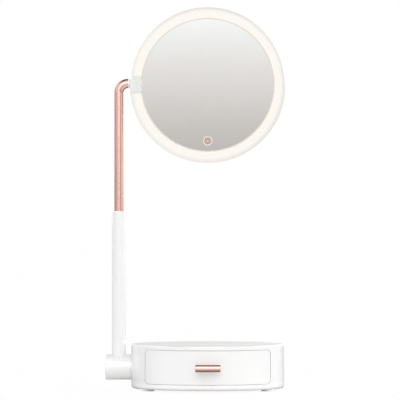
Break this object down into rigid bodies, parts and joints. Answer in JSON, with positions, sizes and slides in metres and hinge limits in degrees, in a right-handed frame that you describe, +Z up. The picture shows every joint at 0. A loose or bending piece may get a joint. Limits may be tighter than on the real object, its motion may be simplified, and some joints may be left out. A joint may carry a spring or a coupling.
{
  "type": "vanity mirror with drawer",
  "caption": "Round ring-lit vanity mirror on a telescopic folding side arm, standing on a round base with a curved-front storage drawer and bar handle.",
  "frame": {"origin": "on the table the feet stand on, on the vertical axis of the round base, straight below the centre of the base's underside", "axes": "+X to the viewer's right, away from the arm; +Y to the back; +Z up. The drawer and the mirror face -Y."},
  "size_m": [0.2032, 0.1892, 0.4321],
  "materials": {
    "white_gloss": "gloss white moulding",
    "white_matt": "fine matt white moulding",
    "white_tube": "gloss white painted steel tube",
    "milky_ring": "milky translucent diffuser, lit from inside",
    "mirror": "silvered float glass, bevelled edge",
    "foam_tape": "white foam tape",
    "touch_cream": "printed cream ring",
    "touch_amber": "amber window, lit from behind",
    "copper": "copper foil",
    "spring_steel": "spring steel",
    "lamp_board": "white lamp board",
    "lamp_chips": "lamp chips with phosphor gel",
    "battery_foil": "foil pouch",
    "circuit_board": "green circuit board",
    "board_parts": "moulded parts on the board",
    "plated_steel": "zinc plated steel",
    "lead_red": "insulated lead",
    "lead_white": "insulated lead",
    "pivot_grey": "warm grey moulding",
    "screw_steel": "plated screw",
    "rose_metal": "satin rose-gold plating",
    "collar_cream": "cream moulding",
    "friction_fibre": "friction fibre",
    "slide_plastic": "dark slide plastic",
    "black_rubber": "rubber",
    "foot_rubber": "pale grey rubber",
    "ballast_steel": "bare steel plate",
    "runner_plastic": "slippery white plastic"
  },
  "bodies": {
    "base": {"base_shell": "white_gloss", "base_bottom": "white_matt", "feet": "foot_rubber", "ballast_plate": "ballast_steel", "base_screws": "screw_steel", "drawer_runners": "runner_plastic", "hinge_plate": "plated_steel", "plate_screws": "screw_steel", "hinge_axle": "plated_steel", "hinge_washers": "friction_fibre", "hinge_springs": "spring_steel", "hinge_lock_washer": "plated_steel", "hinge_nut": "plated_steel"},
    "lower_arm": {"lower_tube": "white_tube", "guide_bush": "white_gloss", "hinge_barrel": "white_gloss", "barrel_cap": "white_gloss", "arm_set_screw": "screw_steel"},
    "upper_arm": {"upper_tube": "rose_metal", "pivot_stem": "plated_steel", "pivot_collar": "collar_cream", "pivot_washer": "friction_fibre", "pivot_springs": "spring_steel", "pivot_nut": "plated_steel", "slide_sleeve": "slide_plastic", "friction_ring": "black_rubber"},
    "head": {"rear_cover": "white_gloss", "head_frame": "white_matt", "light_diffuser": "milky_ring", "mirror_glass": "mirror", "glass_tape": "foam_tape", "touch_ring": "touch_cream", "touch_dot": "touch_amber", "touch_electrode": "copper", "touch_spring": "spring_steel", "led_board": "lamp_board", "led_chips": "lamp_chips", "battery_cell": "battery_foil", "battery_tape": "foam_tape", "driver_board": "circuit_board", "board_parts": "board_parts", "charge_inlet": "plated_steel", "battery_leads": "lead_red", "lamp_leads": "lead_white", "pivot_block": "pivot_grey", "block_screws": "screw_steel", "board_screws": "screw_steel", "cover_screws": "screw_steel"},
    "drawer": {"drawer_tray": "white_matt", "drawer_front": "white_gloss", "drawer_handle": "rose_metal", "handle_posts": "rose_metal", "handle_screws": "screw_steel"}
  },
  "joints": [
    {"name": "arm_fold", "type": "hinge", "parent": "base", "child": "lower_arm", "pos_m": [-0.1003, 0, 0.0257], "axis": [-1, 0, 0], "range_deg": [-20, 90]},
    {"name": "height_slide", "type": "slide", "parent": "lower_arm", "child": "upper_arm", "axis": [0, 0, 1], "range_m": [-0.09, 0]},
    {"name": "head_tilt", "type": "hinge", "parent": "upper_arm", "child": "head", "pos_m": [-0.0879, 0, 0.346], "axis": [-1, 0, 0], "continuous": true},
    {"name": "drawer_slide", "type": "slide", "parent": "base", "child": "drawer", "axis": [0, -1, 0], "range_m": [0, 0.078]}
  ]
}
